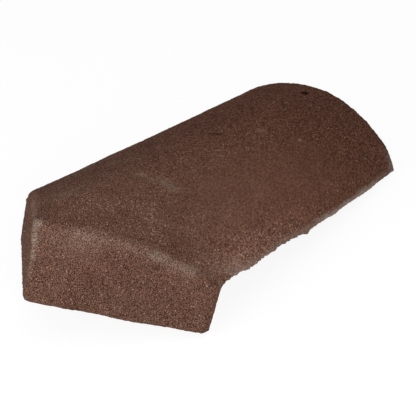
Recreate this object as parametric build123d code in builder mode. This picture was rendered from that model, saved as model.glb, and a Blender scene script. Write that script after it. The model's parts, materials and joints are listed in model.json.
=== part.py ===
from build123d import *
from math import atan, atan2, cos, degrees, radians, sin, tan
import os

# Barrel, measured along its crown line and across its upright sides.
BARREL_LENGTH = 440.0
HALF_WIDTH = 120.0
WALL = 14.0
FOOT_WIDTH = 17.0
SIDE_TRIM = 1.5
TAIL_RISE = 67.0
HEAD_RISE = 62.5
HEAD_CROWN_REACH = 23.0
HEAD_FOOT_REACH = 46.0
HEAD_FOOT_ANGLE_DEG = 48.5

# Nose: two upright walls that meet in an arris on the hip line and stand level on the roof.
NOSE_HEIGHT = 76.0
NOSE_WALL = 15.0
NOSE_HALF_ANGLE_DEG = 46.5
HIP_PITCH_DEG = 16.8
SKIRT_HEEL = 12.0

# Rounded edges of the cast concrete.
ARRIS_FILLET = 5.0
SKIRT_END_FILLET = 5.0
NOTCH_FILLET = 14.0
BROW_FILLET = 4.0
SKIRT_FOOT_FILLET = 2.5
TAIL_CHAMFER = 2.0

# Nail hole through the crown near the tail.
NAIL_HOLE_RADIUS = 4.0
NAIL_HOLE_INSET = 26.0

# How far a cutting shape runs past what it cuts.
OVERRUN = 30.0


def rise_at(x):
    """Height of the crown line above the feet, at x behind the nose."""
    return HEAD_RISE + (TAIL_RISE - HEAD_RISE) * x / BARREL_LENGTH


def flank(half_width, top, foot, crown_reach, foot_reach, foot_angle):
    """Control points of one half of an arch, from its level crown down to its foot."""
    return [
        Vector(0, top),
        Vector(crown_reach, top),
        Vector(half_width - foot_reach * cos(foot_angle), foot + foot_reach * sin(foot_angle)),
        Vector(half_width, foot),
    ]


def flank_at(x, wall, foot_width):
    """Half of the barrel's arch at x, set in by the wall at the crown and by the foot's width."""
    full_width = HALF_WIDTH + SIDE_TRIM
    half_width = full_width - foot_width
    shrink = half_width / full_width
    head_angle = radians(HEAD_FOOT_ANGLE_DEG)
    head_reaches = (HEAD_CROWN_REACH * shrink, HEAD_FOOT_REACH * shrink)
    head = flank(half_width, -wall, -HEAD_RISE, *head_reaches, head_angle)
    # At the tail the arch is one arc of a circle
    tail_angle = 2 * atan(TAIL_RISE / full_width)
    tail_radius = (full_width**2 + TAIL_RISE**2) / (2 * TAIL_RISE)
    tail_reach = tail_radius * tan(tail_angle / 4) * 4 / 3 * shrink
    tail = flank(half_width, -wall, -TAIL_RISE, tail_reach, tail_reach, tail_angle)
    return [start + (end - start) * (x / BARREL_LENGTH) for start, end in zip(head, tail)]


def across(x):
    """Plane across the barrel at x, facing the tail."""
    return Plane(origin=(x, 0, 0), x_dir=(0, 1, 0), z_dir=(1, 0, 0))


def arch_section(x):
    """The wall of the arch at x, a crescent with flat feet."""
    outer = flank_at(x, 0, 0)
    inner = flank_at(x, WALL, SIDE_TRIM + FOOT_WIDTH)
    with BuildSketch(across(x)) as section:
        with BuildLine():
            Bezier(*outer)
            Line(outer[-1], inner[-1])
            Bezier(*inner)
            mirror(about=Plane.YZ)
        make_face()
    return section.sketch


def under_arch_section(x, depth):
    """All that lies under the arch's outer face at x, down to the given depth."""
    outer = flank_at(x, 0, 0)
    with BuildSketch(across(x)) as section:
        with BuildLine():
            Bezier(*outer)
            Polyline(outer[-1], (outer[-1].X, -depth), (0, -depth))
            mirror(about=Plane.YZ)
        make_face()
    return section.sketch


# The level plane under the nose: its normal is plumb when the tile lies on its pitched hip.
pitch = radians(HIP_PITCH_DEG)
half_angle = radians(NOSE_HALF_ANGLE_DEG)
level = Plane(
    origin=(-NOSE_HEIGHT * sin(pitch), 0, -NOSE_HEIGHT * cos(pitch)),
    x_dir=(cos(pitch), 0, -sin(pitch)),
    z_dir=(sin(pitch), 0, cos(pitch)),
)
nose_run = HALF_WIDTH / tan(half_angle)
reach = BARREL_LENGTH + NOSE_HEIGHT + OVERRUN

# The skirt's rear edge rises plumb from its heel to the line of the feet.
heel_foot = level.from_local_coords((nose_run + SKIRT_HEEL, 0, 0))
feet_slope = (TAIL_RISE - HEAD_RISE) / BARREL_LENGTH
climb = (-rise_at(heel_foot.X) - heel_foot.Z) / (cos(pitch) + feet_slope * sin(pitch))
notch_corner = heel_foot + level.z_dir * climb
skirt_depth = OVERRUN - heel_foot.Z


def nose_plan(inset):
    """Plan of the nose and of the sides behind it, set in by a wall or by nothing."""
    start = inset / sin(half_angle)
    side = HALF_WIDTH - inset
    with BuildSketch(level) as plan:
        with BuildLine():
            Polyline((start, 0), (start + side / tan(half_angle), side), (reach, side), (reach, 0))
            mirror(about=Plane.XZ)
        make_face()
    return plan.sketch


with BuildSketch(level) as outer_plan:
    add(nose_plan(0))
    fillet(outer_plan.vertices().sort_by(Axis.X)[0], ARRIS_FILLET)
    fillet(outer_plan.vertices().group_by(Axis.Y)[0].sort_by(Axis.X)[0], SKIRT_END_FILLET)
    fillet(outer_plan.vertices().group_by(Axis.Y)[-1].sort_by(Axis.X)[0], SKIRT_END_FILLET)
inner_plan = nose_plan(NOSE_WALL)

with BuildPart() as tile:
    # Barrel, cut to the outer faces of the nose and to its upright sides
    loft([arch_section(-OVERRUN), arch_section(BARREL_LENGTH)], ruled=True)
    extrude(outer_plan.sketch, amount=reach, both=True, mode=Mode.INTERSECT)

    # Nose walls with a short heel at each end, cut to the arch's outer face
    with BuildPart(mode=Mode.PRIVATE) as nose:
        extrude(outer_plan.sketch - inner_plan, amount=reach)
        loft(
            [under_arch_section(x, skirt_depth) for x in (-OVERRUN, BARREL_LENGTH)],
            ruled=True,
            mode=Mode.INTERSECT,
        )

        # Space behind the skirt and under the feet, with a rounded corner
        with BuildSketch(Plane.XZ) as notch:
            with BuildLine():
                below = heel_foot - level.z_dir * 2 * OVERRUN
                Polyline(
                    (notch_corner.X, notch_corner.Z),
                    (below.X, below.Z),
                    (reach, below.Z),
                    (reach, -rise_at(reach)),
                    (notch_corner.X, notch_corner.Z),
                )
            make_face()
            fillet(notch.vertices().sort_by(Axis.X)[1], NOTCH_FILLET)
        extrude(amount=HALF_WIDTH + OVERRUN, both=True, mode=Mode.SUBTRACT)
    add(nose.part)

    # Nail hole
    with Locations((BARREL_LENGTH - NAIL_HOLE_INSET, 0, 0)):
        Cylinder(NAIL_HOLE_RADIUS, 2 * (WALL + OVERRUN), mode=Mode.SUBTRACT)

    # Rounded brow over both front faces, rounded foot of the skirt, blunted rim of the tail
    arch = tile.faces().sort_by(SortBy.AREA)[-1]
    fillet(arch.edges().sort_by(Axis.X)[:3], BROW_FILLET)
    underside = tile.faces().filter_by(level)[0]
    fillet(underside.edges(), SKIRT_FOOT_FILLET)
    tail_face = tile.faces().sort_by(Axis.X)[-1]
    chamfer(tail_face.edges().sort_by(SortBy.LENGTH)[-2:], TAIL_CHAMFER)

# At rest the tile stands on the heels of its skirt and on the feet at its tail.
tilt = degrees(atan2(-TAIL_RISE - heel_foot.Z, BARREL_LENGTH - heel_foot.X))
at_rest = Rotation(0, tilt, 0) * tile.part
rest_box = at_rest.bounding_box()

with BuildPart() as hip_tile:
    with Locations((-rest_box.center().X, -rest_box.center().Y, -rest_box.min.Z)):
        add(at_rest)
hip_tile.part.label = "hip_tile"

os.makedirs("parts", exist_ok=True)
export_step(hip_tile.part, "parts/hip_tile.step")
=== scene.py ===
"""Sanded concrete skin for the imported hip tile, and the studio that it is shown in."""

import json
import math

import bpy
import numpy as np
from mathutils import Matrix, Vector, noise


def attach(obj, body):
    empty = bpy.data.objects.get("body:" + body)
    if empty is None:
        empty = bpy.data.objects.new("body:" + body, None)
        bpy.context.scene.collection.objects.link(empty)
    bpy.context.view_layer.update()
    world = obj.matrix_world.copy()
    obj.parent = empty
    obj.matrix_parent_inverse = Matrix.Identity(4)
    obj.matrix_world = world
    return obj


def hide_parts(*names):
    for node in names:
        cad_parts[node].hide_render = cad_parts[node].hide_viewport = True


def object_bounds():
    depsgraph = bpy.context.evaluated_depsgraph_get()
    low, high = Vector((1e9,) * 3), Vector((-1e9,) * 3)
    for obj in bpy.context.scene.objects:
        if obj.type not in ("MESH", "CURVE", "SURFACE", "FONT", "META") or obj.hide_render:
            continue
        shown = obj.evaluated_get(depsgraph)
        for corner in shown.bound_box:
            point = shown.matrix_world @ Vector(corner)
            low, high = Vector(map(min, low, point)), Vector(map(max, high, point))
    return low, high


bl_info = {
    "name": "Hip Tile Dressing",
    "version": (1, 0, 0),
    "blender": (4, 5, 0),
    "location": "3D View > Sidebar > Hip Tile",
    "description": "Casts the sanded concrete skin of a hip tile and sets its studio",
    "category": "Object",
}

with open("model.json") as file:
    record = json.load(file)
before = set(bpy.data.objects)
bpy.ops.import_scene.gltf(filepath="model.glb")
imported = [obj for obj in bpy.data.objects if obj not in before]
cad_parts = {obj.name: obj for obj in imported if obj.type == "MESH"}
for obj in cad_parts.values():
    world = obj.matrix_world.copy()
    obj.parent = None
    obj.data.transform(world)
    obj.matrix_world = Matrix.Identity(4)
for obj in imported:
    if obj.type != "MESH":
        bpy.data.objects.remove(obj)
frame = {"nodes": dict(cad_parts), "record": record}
cad_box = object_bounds()

TILE_NODE = "hip_tile"
HALF_WIDTH = cad_box[1].y
MOUNTS = {mount["name"]: mount for mount in frame["record"]["mounts"]}

# Where this casting strays from the true form: place, reach and push, in metres
SWELLS = (
    ((-0.123, 0.109, 0.050), 0.030, (-0.0015, 0.0019, 0.0005)),
    ((-0.205, 0.000, 0.105), 0.033, (-0.0022, 0.0024, 0.0000)),
    ((-0.135, 0.075, 0.087), 0.030, (-0.0002, -0.0011, -0.0013)),
    ((-0.203, 0.002, 0.117), 0.016, (-0.0010, 0.0042, 0.0000)),
    ((0.225, -0.045, 0.055), 0.060, (0.0010, 0.0000, 0.0000)),
    ((0.222, -0.101, 0.023), 0.014, (0.0016, 0.0000, 0.0002)),
    ((0.219, -0.118, 0.003), 0.008, (-0.0012, 0.0003, 0.0000)),
    ((0.196, -0.117, 0.008), 0.028, (0.0000, 0.0021, 0.0018)),
    ((0.085, -0.118, 0.020), 0.022, (0.0000, -0.0012, -0.0011)),
    ((0.042, -0.119, 0.026), 0.014, (0.0000, -0.0012, -0.0012)),
    ((-0.008, -0.118, 0.034), 0.028, (0.0000, 0.0015, 0.0013)),
    ((-0.090, -0.119, 0.043), 0.020, (0.0002, 0.0010, 0.0008)),
    ((-0.175, -0.066, 0.024), 0.024, (-0.0006, -0.0002, -0.0009)),
    ((-0.193, -0.047, 0.035), 0.013, (0.0003, 0.0002, 0.0005)),
    ((-0.074, 0.070, 0.082), 0.060, (0.0000, 0.0003, -0.0008)),
    ((0.208, 0.052, 0.059), 0.040, (0.0000, 0.0003, -0.0012)),
    ((0.037, -0.119, 0.026), 0.003, (0.0000, -0.0018, -0.0020)),
    ((-0.016, -0.119, 0.034), 0.004, (0.0000, -0.0010, -0.0012)),
    ((0.210, 0.067, 0.053), 0.004, (0.0000, 0.0004, 0.0010)),
    ((0.227, -0.016, 0.067), 0.004, (0.0009, 0.0000, 0.0009)),
)

# Painted light and shade, partly the tile's own tone: lighter near the notch, along the near flank and on
# top of the nose, darker at the tail, on the nose's front and along the far side of the barrel. Place,
# reach and amount
PAINTED_LIGHT_AND_TONE = (
    ((-0.060, -0.112, 0.050), 0.045, 0.25),
    ((0.040, -0.090, 0.050), 0.090, 0.18),
    ((0.210, -0.040, 0.050), 0.110, -0.22),
    ((-0.120, -0.020, 0.108), 0.080, 0.15),
    ((-0.165, 0.000, 0.114), 0.035, 0.11),
    ((-0.165, -0.060, 0.055), 0.055, -0.11),
    ((-0.100, 0.065, 0.088), 0.045, -0.15),
    ((-0.010, 0.062, 0.085), 0.048, -0.14),
    ((0.075, 0.052, 0.079), 0.045, -0.10),
)

# Pale dust, rubbed places and painted highlights along the arris and the brow: both ends of the mark, its
# reach and amount
DUST_AND_HIGHLIGHTS = (
    # The arris, from its top corner down: painted highlight, partly a rubbed edge
    ((-0.2035, 0.006, 0.1175), (-0.2030, 0.003, 0.1170), 0.0032, 0.90),
    ((-0.2055, 0.005, 0.1150), (-0.2110, 0.002, 0.1020), 0.0026, 0.60),
    ((-0.2110, 0.002, 0.1020), (-0.2165, 0.001, 0.0900), 0.0028, 0.40),
    ((-0.2165, 0.001, 0.0900), (-0.2230, 0.001, 0.0700), 0.0030, 0.20),
    ((-0.1960, -0.014, 0.104), (-0.1800, -0.034, 0.100), 0.0130, 0.12),
    # Along the brow: painted highlight, partly a rubbed edge
    ((-0.1890, -0.019, 0.110), (-0.1370, -0.082, 0.081), 0.0040, 0.14),
    ((-0.1430, -0.075, 0.083), (-0.1210, -0.102, 0.064), 0.0045, 0.42),
    ((-0.2000, 0.012, 0.108), (-0.1420, 0.082, 0.070), 0.0070, 0.22),
    ((-0.1040, -0.111, 0.057), (-0.0700, -0.114, 0.049), 0.0060, 0.16),
    ((-0.1030, -0.119, 0.046), (-0.1010, -0.119, 0.041), 0.0040, 0.30),
    ((-0.1500, 0.029, 0.108), (-0.1430, 0.023, 0.109), 0.0090, 0.22),
    ((-0.0760, 0.000, 0.104), (-0.0670, -0.032, 0.097), 0.0065, 0.21),
    ((-0.0610, 0.053, 0.087), (-0.0550, 0.032, 0.095), 0.0080, 0.10),
    ((0.0890, -0.019, 0.082), (0.0920, -0.026, 0.081), 0.0026, 0.32),
    ((0.1188, -0.053, 0.069), (0.1190, -0.053, 0.069), 0.0018, 0.90),
    ((0.2200, -0.108, 0.018), (0.2150, -0.116, 0.006), 0.0055, 0.65),
)

# Where coarser sand stands out: both ends of the patch and its reach
COARSE = (
    ((-0.085, -0.112, 0.052), (0.015, -0.114, 0.040), 0.016),
    ((-0.113, -0.039, 0.100), (-0.126, -0.062, 0.092), 0.010),
    ((-0.149, -0.005, 0.113), (-0.136, -0.018, 0.110), 0.010),
    ((0.015, -0.016, 0.093), (0.023, -0.023, 0.090), 0.006),
    ((0.056, -0.038, 0.082), (0.058, -0.045, 0.079), 0.006),
)

# Single marks, each with both its ends and its reach
WORN_CORNER = ((0.221, -0.120, 0.000), (0.223, -0.112, 0.010), 0.011)
CALM_PATCH = ((-0.03, -0.06, 0.085), (0.10, -0.09, 0.06), 0.045)
# The scratch is darkened with painted shade, like the nail hole
SCRATCH = ((0.043, 0.009, 0.089), (0.049, -0.001, 0.089), 0.0019)

# Grid that divides the skin: its octree's depth, and how much of its length the tile spans
GRID_DEPTH = 8
GRID_FILL_SHARE = 0.9

# Noise in the relief: wavelength in metres, seed and octaves
WAVES = {
    "sway": (0.075, 1, 1),
    "dapple": (0.016, 2, 2),
    "grit": (0.0031, 3, 1),
    "chips": (0.009, 4, 2),
}
SEED_STEP = (7.31, -3.17, 5.53)
OCTAVE_FALLOFF = 0.9
OCTAVE_STEP = 2.1
GRAIN_SEED = 5

# Where a fade begins and where it is full: places along the tile, in metres
INSIDE_NOSE_X = (-0.09, -0.10)
CRUMBLY_X = (0.10, 0.03)
DUSTY_X = (0.14, -0.14)
MOTTLED_X = (-0.16, -0.04)

# The same for distances in metres: in from the upright sides, up from the feet,
# in from the tail, and out of the softened surface
INSIDE_INSET = (0.004, 0.010)
LOW_EDGE_INSET = (0.020, 0.008)
RAW_INSET = (0.008, 0.004)
LOW_EDGE_HEIGHT = (0.010, 0.001)
RAW_HEIGHT = (0.0085, 0.0030)
ABOVE_FEET = (-0.002, 0.0)
TAIL_DEPTH = (0.0016, 0.0004)
EDGE_STAND_OUT = (0.0006, 0.0022)

# The same for the share of a normal that points down, or back towards the tail
FACES_DOWN = (-0.15, -0.45)
LEANS_BACK = (0.2, 0.5)
FACES_BACK = (0.6, 0.9)

# The same for the distance from the nail hole's axis, as shares of its radius
HOLE_RIM_SHARES = (1.25, 0.95)

# Wear of the edges and make-up of the relief
WEAR_ROUNDS = 14
EDGE_WEAR = 0.45
GRAINS_IN_GRIT = 0.5
UNSANDED_LOSS = 0.7
LEAST_CHIP = 0.05
LEAST_CRUMBLY = 0.15
GRIT_IN_CRUMBS = 0.8

# Strength of the masks
SWAY_SHADE = 0.05
LEAST_DUST = 0.03
NOSE_DUST = 0.12
MOST_MOTTLED = 0.42
MOST_CALM = 0.50
RAW_WAVER = 0.0014

# How raw the lower edge is along the tile: where each change begins and ends, and its amount
RAW_CHANGES = (
    ((-0.095, -0.080), 0.35),
    ((0.045, 0.085), 0.65),
    ((0.170, 0.190), -0.60),
)

# Scales of the finish, in cells or waves to a metre
BLOTCHES = 45.0
MOTTLES = 400.0
GRAINS = 640.0
COARSE_SAND = 1000.0
FINE_SAND = 1800.0

# Make-up of the finish
FINE_SHARE = 0.6
UNSANDED_SMOOTHNESS = 0.7
SMOOTH_LEVEL = 0.42
GRAIN_RARITY = 0.955
COARSE_RARITY_DROP = 0.25
SMOOTH_GRAIN_LOSS = 1.4
GRAIN_COVER = 0.9
GRAIN_BUMP = 0.12
BLOTCH_IN_DUST = 0.6
HOLLOW_SHADE_COVER = 0.9

# Studio: the floor and its white glow, and each lamp's place, aim and size in metres
FLOOR_HALF = 6.0
FLOOR_GLOW = 1.1
FLOOR_GLOW_SHARE = 0.8
LAMPS = {
    "key": ((-0.85, -1.05, 0.60), (-0.12, 0.0, 0.05), 0.6),
    "side": ((-1.35, 0.35, 0.55), (-0.15, 0.0, 0.05), 0.8),
    "top": ((-0.50, -0.20, 1.70), (-0.10, 0.0, 0.05), 1.2),
}
SENSOR_WIDTH_MM = 36.0
VIEW_END = 50.0


class CastProperties(bpy.types.PropertyGroup):
    """Sizes of the cast tile's relief."""

    fineness: bpy.props.FloatProperty(
        name="Fineness",
        description="How finely the skin is divided: 1 gives faces of 2 mm, 1.05 nearly 200,000 triangles",
        default=1.02,
    )
    sway: bpy.props.FloatProperty(
        name="Sway",
        description="Height of the long, slow waves left by the mould",
        default=0.0009,
        unit="LENGTH",
    )
    dapple: bpy.props.FloatProperty(
        name="Dapple",
        description="Height of the shallow unevenness of the sanded face",
        default=0.0003,
        unit="LENGTH",
    )
    grit: bpy.props.FloatProperty(
        name="Grit",
        description="Height of the coarse sand that stands on the face",
        default=0.0005,
        unit="LENGTH",
    )
    ragged: bpy.props.FloatProperty(
        name="Ragged edge",
        description="Depth of the breaks along the edges",
        default=0.0012,
        unit="LENGTH",
    )
    crumbs: bpy.props.FloatProperty(
        name="Crumbs",
        description="Height of the crumbs along the lower edges",
        default=0.0015,
        unit="LENGTH",
    )


class ConcreteProperties(bpy.types.PropertyGroup):
    """Colours of the concrete."""

    body_colour: bpy.props.FloatVectorProperty(
        name="Body",
        description="Brown of the sanded face",
        subtype="COLOR",
        default=(0.279, 0.119, 0.074),
        min=0.0,
        max=1.0,
    )
    # Also the painted shade in the nail hole and along the scratch
    deep_colour: bpy.props.FloatVectorProperty(
        name="Hollows",
        description="Darker brown between the grains",
        subtype="COLOR",
        default=(0.030, 0.011, 0.007),
        min=0.0,
        max=1.0,
    )
    sand_colour: bpy.props.FloatVectorProperty(
        name="Sand",
        description="Warm grains that stand out of the face",
        subtype="COLOR",
        default=(0.500, 0.255, 0.150),
        min=0.0,
        max=1.0,
    )
    # Also the colour of the painted highlights along the arris and the brow
    dust_and_highlight_colour: bpy.props.FloatVectorProperty(
        name="Dust",
        description="Greyish dust on the nose and along the rubbed edges",
        subtype="COLOR",
        default=(0.270, 0.190, 0.148),
        min=0.0,
        max=1.0,
    )
    raw_colour: bpy.props.FloatVectorProperty(
        name="Raw edge",
        description="Grey concrete where the sanding ends or is worn off",
        subtype="COLOR",
        default=(0.400, 0.325, 0.270),
        min=0.0,
        max=1.0,
    )


class StudioProperties(bpy.types.PropertyGroup):
    """Camera and lamps."""

    camera_place: bpy.props.FloatVectorProperty(
        name="Camera",
        description="Where the camera stands",
        subtype="TRANSLATION",
        default=(-0.68354, -0.56347, 0.64201),
    )
    camera_heading: bpy.props.FloatProperty(
        name="Heading",
        description="Direction the camera looks in, from +X towards +Y",
        subtype="ANGLE",
        default=math.radians(38.355),
    )
    camera_dip: bpy.props.FloatProperty(
        name="Dip",
        description="How far the camera looks down",
        subtype="ANGLE",
        default=math.radians(34.959),
    )
    camera_lens: bpy.props.FloatProperty(
        name="Lens",
        description="Focal length on a 36 mm wide sensor",
        subtype="DISTANCE_CAMERA",
        default=89.94,
    )
    key_power: bpy.props.FloatProperty(
        name="Key lamp",
        description="Power of the large lamp beside the camera",
        subtype="POWER",
        default=7.0,
    )
    side_power: bpy.props.FloatProperty(
        name="Side lamp",
        description="Power of the lamp that lights the nose from the left",
        subtype="POWER",
        default=5.7,
    )
    top_power: bpy.props.FloatProperty(
        name="Top lamp",
        description="Power of the lamp overhead",
        subtype="POWER",
        default=3.4,
    )
    sky_level: bpy.props.FloatProperty(
        name="Sky level",
        description="Strength of the even light from all round",
        default=0.40,
    )


def fade(limits, values):
    """0 up to the first limit, 1 from the second on, and a soft step between them."""
    begin, full = limits
    part = np.clip((values - begin) / (full - begin), 0.0, 1.0)
    return part * part * (3.0 - 2.0 * part)


def nearness(places, start, end, reach):
    """1 on the line from start to end, fading with distance from it over the reach."""
    start, end = np.array(start), np.array(end)
    run = end - start
    along = np.zeros(len(places))
    if run.any():
        along = np.clip(((places - start) @ run) / (run @ run), 0.0, 1.0)
    away = np.linalg.norm(places - start - along[:, None] * run, axis=1)
    return np.exp(-((away / reach) ** 2))


def behind(mount_name, places):
    """How far each place lies behind the face of one of the record's flat mounts."""
    mount = MOUNTS[mount_name]
    return -(places - np.array(mount["pos_m"])) @ np.array(mount["axis"])


def noise_at(places, wavelength, seed, octaves):
    """Smooth noise from about -1 to 1 at each place, with the wavelength in metres."""
    shift = Vector([seed * step for step in SEED_STEP])
    values = np.empty(len(places))
    for index, place in enumerate(places):
        point = Vector(place) / wavelength + shift
        if octaves == 1:
            values[index] = noise.noise(point)
        else:
            values[index] = noise.fractal(point, OCTAVE_FALLOFF, OCTAVE_STEP, octaves)
    return values


def vertex_arrays(mesh):
    """Places and normals of a mesh's vertices, as arrays."""
    places = np.empty(len(mesh.vertices) * 3)
    normals = np.empty(len(mesh.vertices) * 3)
    mesh.vertices.foreach_get("co", places)
    mesh.vertices.foreach_get("normal", normals)
    return places.reshape(-1, 3), normals.reshape(-1, 3)


def edge_ends(mesh):
    """The two vertices of each edge of a mesh, as an array."""
    ends = np.empty(len(mesh.edges) * 2, dtype=int)
    mesh.edges.foreach_get("vertices", ends)
    return ends.reshape(-1, 2)


def relaxed(places, edges, rounds):
    """Places after each vertex has moved to the middle of its neighbours, some rounds over."""
    count = len(places)
    first, second = edges.T
    neighbours = np.bincount(edges.ravel(), minlength=count)
    for _ in range(rounds):
        sums = [
            np.bincount(first, column[second], count) + np.bincount(second, column[first], count)
            for column in places.T
        ]
        places = np.column_stack(sums) / neighbours[:, None]
    return places


class Surface:
    """Vertices of the skin before its relief, and what the relief and the masks go by."""

    def __init__(self, mesh):
        self.places, self.normals = vertex_arrays(mesh)
        self.along = self.places[:, 0]

        # An edge is where the skin stands out of its softened form
        self.softened = relaxed(self.places, edge_ends(mesh), WEAR_ROUNDS)
        stand_out = ((self.places - self.softened) * self.normals).sum(axis=1)
        self.edge = fade(EDGE_STAND_OUT, stand_out)

        # How far in from the upright sides and up from the feet; the skirt lies below the feet
        self.inset = HALF_WIDTH - np.abs(self.places[:, 1])
        self.height = np.minimum(
            behind("left_foot", self.places), behind("right_foot", self.places)
        )
        self.above_feet = fade(ABOVE_FEET, self.height)
        self.unsanded = self.find_unsanded()
        self.waves = {name: noise_at(self.places, *wave) for name, wave in WAVES.items()}

    def find_unsanded(self):
        """1 under the arch, within the nose and on the tail's face, which carry little sand."""
        under = fade(FACES_DOWN, self.normals[:, 2]) * fade(INSIDE_INSET, self.inset)
        in_nose = fade(LEANS_BACK, self.normals[:, 0]) * fade(INSIDE_NOSE_X, self.along)
        on_tail = fade(TAIL_DEPTH, behind("tail_face", self.places))
        on_tail = on_tail * fade(FACES_BACK, self.normals[:, 0])
        return np.maximum.reduce([under, in_nose, on_tail])


def relief(surface, cast):
    """How far each vertex stands off the smooth skin: waves, sand, breaks and crumbs."""
    waves = surface.waves
    grains = np.random.default_rng(GRAIN_SEED).uniform(-1.0, 1.0, len(surface.places))
    sand = (waves["grit"] + GRAINS_IN_GRIT * grains) * (1.0 - UNSANDED_LOSS * surface.unsanded)
    face = cast.sway * waves["sway"] + cast.dapple * waves["dapple"] + cast.grit * sand
    breaks = cast.ragged * surface.edge * np.clip(waves["chips"] - LEAST_CHIP, 0.0, 1.0)

    # Crumbs stand along the lower edges, where the mould ended, and mostly towards the nose
    low_edge = fade(LOW_EDGE_HEIGHT, surface.height) * surface.above_feet
    low_edge = low_edge * fade(LOW_EDGE_INSET, surface.inset)
    crumbly = LEAST_CRUMBLY + (1.0 - LEAST_CRUMBLY) * fade(CRUMBLY_X, surface.along)
    crumbs = cast.crumbs * crumbly * low_edge * (waves["chips"] + GRIT_IN_CRUMBS * waves["grit"])
    return face - breaks + crumbs


def cast_places(surface, cast):
    """Places of the vertices with worn edges, relief and the strays of this casting."""
    wear = np.clip(EDGE_WEAR * surface.edge + nearness(surface.places, *WORN_CORNER), 0.0, 1.0)
    worn = surface.places + (surface.softened - surface.places) * wear[:, None]
    places = worn + surface.normals * relief(surface, cast)[:, None]
    for place, reach, push in SWELLS:
        places = places + nearness(surface.places, place, place, reach)[:, None] * np.array(push)
    return places


def raw_edge(surface):
    """How bare the concrete is along the lower outer edge."""
    height = surface.height + RAW_WAVER * surface.waves["dapple"]
    band = fade(RAW_HEIGHT, height) * surface.above_feet * fade(RAW_INSET, surface.inset)
    return band * sum(amount * fade(limits, surface.along) for limits, amount in RAW_CHANGES)


def nail_hole(surface):
    """1 within the nail hole, fading out past its rim."""
    hole = MOUNTS["nail_hole"]
    radius = hole["dims"]["r_mm"] / 1000
    off_axis = np.cross(surface.places - np.array(hole["pos_m"]), np.array(hole["axis"]))
    rim = [share * radius for share in HOLE_RIM_SHARES]
    return fade(rim, np.linalg.norm(off_axis, axis=1))


def finish_masks(surface, places):
    """The masks that the finish reads, for the cast skin's places."""
    # Painted light and shade at the listed places, on top of random sway in the tone
    tone = 1.0 + SWAY_SHADE * surface.waves["sway"]
    for place, reach, amount in PAINTED_LIGHT_AND_TONE:
        tone = tone + amount * nearness(places, place, place, reach)
    dust = LEAST_DUST + NOSE_DUST * fade(DUSTY_X, surface.along)
    for start, end, reach, amount in DUST_AND_HIGHLIGHTS:
        dust = dust + amount * nearness(places, start, end, reach)
    return {
        "tone": tone,
        "dust": np.clip(dust, 0.0, 1.0),
        "raw": raw_edge(surface),
        "coarse": sum(nearness(places, *patch) for patch in COARSE),
        "mottled": MOST_MOTTLED * fade(MOTTLED_X, surface.along),
        "unsanded": surface.unsanded,
        "calm": MOST_CALM * nearness(places, *CALM_PATCH),
        # Painted shade within the nail hole and along the scratch
        "hollow": nail_hole(surface) + nearness(places, *SCRATCH),
    }


def dense_skin(fineness):
    """A copy of the tile's solid, divided evenly, with its sharp edges kept."""
    solid = frame["nodes"][TILE_NODE]
    skin = bpy.data.objects.new("sanded_tile", solid.data.copy())
    bpy.context.scene.collection.objects.link(skin)
    remesh = skin.modifiers.new("skin", "REMESH")
    remesh.mode = "SHARP"
    remesh.octree_depth = GRID_DEPTH
    remesh.scale = GRID_FILL_SHARE * fineness
    remesh.use_remove_disconnected = False
    remesh.use_smooth_shade = True
    depsgraph = bpy.context.evaluated_depsgraph_get()
    mesh = bpy.data.meshes.new_from_object(skin.evaluated_get(depsgraph))
    skin.modifiers.clear()
    skin.data = mesh
    mesh.name = "sanded_tile"
    return skin


def cast_skin(cast):
    """Dense mesh of the tile with its relief, and the masks that its finish reads."""
    skin = dense_skin(cast.fineness)
    surface = Surface(skin.data)
    places = cast_places(surface, cast)
    skin.data.vertices.foreach_set("co", places.ravel())
    for name, values in finish_masks(surface, places).items():
        layer = skin.data.attributes.new(name, "FLOAT", "POINT")
        layer.data.foreach_set("value", values.astype(np.float32))
    skin.data.update()
    return skin


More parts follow.
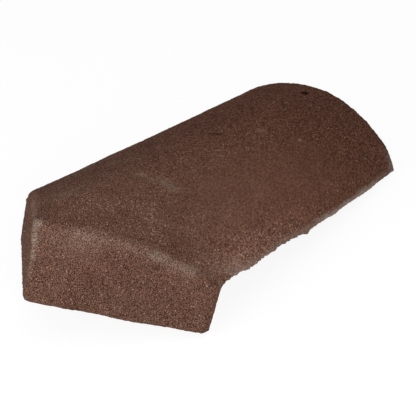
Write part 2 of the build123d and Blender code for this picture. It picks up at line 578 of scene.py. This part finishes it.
class Graph:
    """The nodes of a material or a world, with short calls to add and join them."""

    def __init__(self, owner, output="ShaderNodeOutputMaterial"):
        owner.use_nodes = True
        self.tree = owner.node_tree
        self.tree.nodes.clear()
        self.output = self.add(output)

    def add(self, kind, sockets=None, **settings):
        """A node of that kind, with its settings made and the named sockets fed."""
        node = self.tree.nodes.new(kind)
        for name, value in settings.items():
            setattr(node, name, value)
        for name, value in (sockets or {}).items():
            self.feed(node.inputs[name], value)
        return node

    def feed(self, socket, value):
        """Joins a socket to another node's output, or gives it a plain number or colour."""
        if isinstance(value, bpy.types.NodeSocket):
            self.tree.links.new(value, socket)
        elif socket.type == "RGBA":
            socket.default_value = (*value, 1.0)
        else:
            socket.default_value = value

    def show(self, shader):
        """Puts the shader on the surface."""
        self.feed(self.output.inputs["Surface"], shader)

    def coordinates(self):
        return self.add("ShaderNodeTexCoord").outputs["Object"]

    def mask(self, name):
        """One of the masks that the skin carries."""
        return self.add("ShaderNodeAttribute", attribute_name=name).outputs["Fac"]

    def noise(self, place, scale, detail, roughness=0.55):
        sockets = {"Vector": place, "Scale": scale, "Detail": detail, "Roughness": roughness}
        return self.add("ShaderNodeTexNoise", sockets).outputs["Fac"]

    def span(self, value, low, high, to_low=0.0, to_high=1.0):
        """The value's run from low to high, stretched to run from to_low to to_high."""
        sockets = {
            "Value": value,
            "From Min": low,
            "From Max": high,
            "To Min": to_low,
            "To Max": to_high,
        }
        return self.add("ShaderNodeMapRange", sockets).outputs["Result"]

    def math(self, kind, first, second):
        node = self.add("ShaderNodeMath", operation=kind)
        self.feed(node.inputs[0], first)
        self.feed(node.inputs[1], second)
        return node.outputs["Value"]

    def plus(self, first, second):
        return self.math("ADD", first, second)

    def minus(self, first, second):
        return self.math("SUBTRACT", first, second)

    def times(self, first, second):
        return self.math("MULTIPLY", first, second)

    def between(self, kind, share, first, second):
        """The first where the share is 0 and the second where it is 1."""
        node = self.add("ShaderNodeMix", data_type=kind)
        for name, value in (("Factor", share), ("A", first), ("B", second)):
            self.feed(next(s for s in node.inputs if s.name == name and s.enabled), value)
        return next(s for s in node.outputs if s.enabled)

    def blend(self, share, first, second):
        """A number between two numbers."""
        return self.between("FLOAT", share, first, second)

    def mix(self, share, first, second):
        """A colour between two colours."""
        return self.between("RGBA", share, first, second)

    def mix_shaders(self, share, first, second):
        node = self.add("ShaderNodeMixShader")
        for socket, value in zip(node.inputs, (share, first, second)):
            self.feed(socket, value)
        return node.outputs["Shader"]

    def scaled(self, colour, level):
        """The colour, lighter or darker by the level."""
        node = self.add("ShaderNodeVectorMath", {"Scale": level}, operation="SCALE")
        self.feed(node.inputs[0], colour)
        return node.outputs["Vector"]


def standing_grains(graph, place, smooth, colours):
    """Single grains that stand out, more of them where the sand is coarse, and their colour."""
    cells = graph.add("ShaderNodeTexVoronoi", {"Vector": place, "Scale": GRAINS})
    draw = graph.add("ShaderNodeSeparateColor", {"Color": cells.outputs["Color"]})
    rare = graph.minus(GRAIN_RARITY, graph.times(graph.mask("coarse"), COARSE_RARITY_DROP))
    picked = graph.math("GREATER_THAN", draw.outputs["Red"], rare)
    core = graph.span(cells.outputs["Distance"], low=0.55, high=0.25)
    kept = graph.minus(1.0, graph.times(smooth, SMOOTH_GRAIN_LOSS))
    grain = graph.times(graph.times(picked, core), kept)
    warm = graph.mix(draw.outputs["Green"], colours.sand_colour, colours.raw_colour)
    return grain, warm


def sanded_concrete(colours):
    """Matt brown concrete faced with sand, grey where its edges are raw or worn."""
    material = bpy.data.materials.new("sanded_concrete")
    graph = Graph(material)
    place = graph.coordinates()
    blotch = graph.noise(place, BLOTCHES, detail=4.0, roughness=0.6)
    mottle = graph.noise(place, MOTTLES, detail=1.0)
    coarse = graph.noise(place, COARSE_SAND, detail=1.0, roughness=0.6)
    fine = graph.noise(place, FINE_SAND, detail=0.0)
    sand = graph.blend(FINE_SHARE, coarse, fine)

    # Fine grains on the nose, more mottled along the barrel and calm where it is rubbed
    grainy = graph.span(sand, low=0.48, high=0.58)
    mottled = graph.span(mottle, low=0.40, high=0.62)
    level = graph.blend(graph.mask("mottled"), grainy, mottled)
    bare = graph.times(graph.mask("unsanded"), UNSANDED_SMOOTHNESS)
    smooth = graph.math("MAXIMUM", graph.mask("calm"), bare)
    level = graph.blend(smooth, level, SMOOTH_LEVEL)
    tone = graph.mix(level, colours.deep_colour, colours.body_colour)
    grain, warm = standing_grains(graph, place, smooth, colours)
    tone = graph.mix(graph.times(grain, GRAIN_COVER), tone, warm)

    # Dust lies in patches between and on the grains; the same mask carries the painted highlights along
    # the arris and the brow
    drift = graph.plus(fine, graph.times(blotch, BLOTCH_IN_DUST))
    drift = graph.span(drift, low=0.62, high=0.98, to_low=0.3, to_high=1.7)
    dust_and_highlight_share = graph.times(graph.mask("dust"), drift)
    lit = graph.span(level, low=0.0, high=1.0, to_low=0.55, to_high=1.65)
    tone = graph.mix(dust_and_highlight_share, tone, graph.scaled(colours.dust_and_highlight_colour, lit))

    # Bare concrete along the lower edge, and painted shade in the nail hole and along the scratch
    bared = graph.span(coarse, low=0.35, high=0.6, to_low=0.3, to_high=0.95)
    tone = graph.mix(graph.times(graph.mask("raw"), bared), tone, colours.raw_colour)
    hollow = graph.times(graph.mask("hollow"), HOLLOW_SHADE_COVER)
    tone = graph.mix(hollow, tone, colours.deep_colour)
    # The painted light and shade of the tone mask, with random blotches, scale the colour
    blotched = graph.span(blotch, low=0.3, high=0.7, to_low=0.94, to_high=1.06)
    tinted_with_painted_light = graph.scaled(tone, graph.times(graph.mask("tone"), blotched))

    height = graph.plus(sand, graph.times(grain, GRAIN_BUMP))
    bump = graph.add("ShaderNodeBump", {"Strength": 0.9, "Distance": 0.0012, "Height": height})
    finish = {
        "Base Color": tinted_with_painted_light,
        "Roughness": 0.95,
        "Specular IOR Level": 0.05,
        "Normal": bump.outputs["Normal"],
    }
    graph.show(graph.add("ShaderNodeBsdfPrincipled", finish).outputs["BSDF"])
    return material


def seen_directly(graph):
    """1 for rays from the camera and in mirrors and glass, and 0 for light that falls on things."""
    path = graph.add("ShaderNodeLightPath").outputs
    seen = graph.math("MAXIMUM", path["Is Camera Ray"], path["Is Glossy Ray"])
    return graph.math("MAXIMUM", seen, path["Is Transmission Ray"])


def pale_floor():
    """White floor that keeps a faint shadow."""
    material = bpy.data.materials.new("pale_floor")
    graph = Graph(material)
    matt = graph.add("ShaderNodeBsdfDiffuse", {"Color": (0.9, 0.9, 0.9)})
    white = graph.add("ShaderNodeEmission", {"Strength": FLOOR_GLOW})
    share = graph.times(seen_directly(graph), FLOOR_GLOW_SHARE)
    graph.show(graph.mix_shaders(share, matt.outputs["BSDF"], white.outputs["Emission"]))
    return material


def white_world(level):
    """White all round where it is seen, and plain grey where it lights."""
    world = bpy.data.worlds.new("studio")
    graph = Graph(world, "ShaderNodeOutputWorld")
    white = {"Color": (1.0, 1.0, 1.0)}
    light = graph.add("ShaderNodeBackground", {"Strength": level, **white})
    seen = graph.add("ShaderNodeBackground", white)
    sides = (light.outputs["Background"], seen.outputs["Background"])
    graph.show(graph.mix_shaders(seen_directly(graph), *sides))
    return world


def floor_sheet():
    """Wide flat floor under the tile."""
    half = FLOOR_HALF
    sheet = bpy.data.meshes.new("floor")
    corners = [(-half, -half, 0), (half, -half, 0), (half, half, 0), (-half, half, 0)]
    sheet.from_pydata(corners, [], [(0, 1, 2, 3)])
    sheet.materials.append(pale_floor())
    return bpy.data.objects.new("floor", sheet)


def area_lamp(name, place, aim, size, power):
    """A square soft lamp that points at aim."""
    data = bpy.data.lights.new(name, "AREA")
    data.size = size
    data.energy = power
    lamp = bpy.data.objects.new(name, data)
    lamp.location = place
    lamp.rotation_euler = (Vector(aim) - Vector(place)).to_track_quat("-Z", "Y").to_euler()
    return lamp


def studio_camera(studio):
    """Camera where the studio's settings put it."""
    data = bpy.data.cameras.new("camera")
    data.sensor_width = SENSOR_WIDTH_MM
    data.lens = studio.camera_lens
    data.clip_end = VIEW_END
    camera = bpy.data.objects.new("camera", data)
    look = Vector((1.0, 0.0, 0.0))
    look.rotate(Matrix.Rotation(studio.camera_dip, 3, "Y"))
    look.rotate(Matrix.Rotation(studio.camera_heading, 3, "Z"))
    camera.rotation_euler = look.to_track_quat("-Z", "Y").to_euler()
    camera.location = studio.camera_place
    return camera


class HIPTILE_OT_cast(bpy.types.Operator):
    """Casts the tile's sanded skin over its solid"""

    bl_idname = "hiptile.cast"
    bl_label = "Cast Tile"

    def execute(self, context):
        skin = cast_skin(context.scene.hiptile_cast)
        finish = sanded_concrete(context.scene.hiptile_concrete)
        skin.data.materials.clear()
        skin.data.materials.append(finish)
        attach(skin, "root")
        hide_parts(TILE_NODE)
        return {"FINISHED"}


class HIPTILE_OT_studio(bpy.types.Operator):
    """Sets the floor, the lamps and the camera"""

    bl_idname = "hiptile.studio"
    bl_label = "Set Studio"

    def execute(self, context):
        scene = context.scene
        studio = scene.hiptile_studio
        scene.view_settings.view_transform = "Standard"
        floor = floor_sheet()
        scene.collection.objects.link(floor)
        scene.world = white_world(studio.sky_level)
        for name, stand in LAMPS.items():
            lamp = area_lamp(name, *stand, getattr(studio, f"{name}_power"))
            scene.collection.objects.link(lamp)
        scene.camera = studio_camera(studio)
        scene.collection.objects.link(scene.camera)
        return {"FINISHED"}


class HIPTILE_PT_panel(bpy.types.Panel):
    """Steps and sizes of the hip tile"""

    bl_idname = "HIPTILE_PT_panel"
    bl_label = "Hip Tile"
    bl_space_type = "VIEW_3D"
    bl_region_type = "UI"
    bl_category = "Hip Tile"

    def draw(self, context):
        scene = context.scene
        groups = (
            (HIPTILE_OT_cast, (scene.hiptile_cast, scene.hiptile_concrete)),
            (HIPTILE_OT_studio, (scene.hiptile_studio,)),
        )
        for operator, settings in groups:
            box = self.layout.box()
            for group in settings:
                for name in group.bl_rna.properties.keys():
                    if name not in ("rna_type", "name"):
                        box.prop(group, name)
            box.operator(operator.bl_idname)


GROUPS = {
    "hiptile_cast": CastProperties,
    "hiptile_concrete": ConcreteProperties,
    "hiptile_studio": StudioProperties,
}
STEPS = (HIPTILE_OT_cast, HIPTILE_OT_studio)


def register():
    for name, group in GROUPS.items():
        bpy.utils.register_class(group)
        setattr(bpy.types.Scene, name, bpy.props.PointerProperty(type=group))
    for kind in (*STEPS, HIPTILE_PT_panel):
        bpy.utils.register_class(kind)


def unregister():
    for kind in (HIPTILE_PT_panel, *reversed(STEPS)):
        bpy.utils.unregister_class(kind)
    for name, group in reversed(GROUPS.items()):
        delattr(bpy.types.Scene, name)
        bpy.utils.unregister_class(group)


def main():
    register()
    for step in STEPS:
        group, name = step.bl_idname.split(".")
        getattr(getattr(bpy.ops, group), name)()


if __name__ == "__main__":
    main()
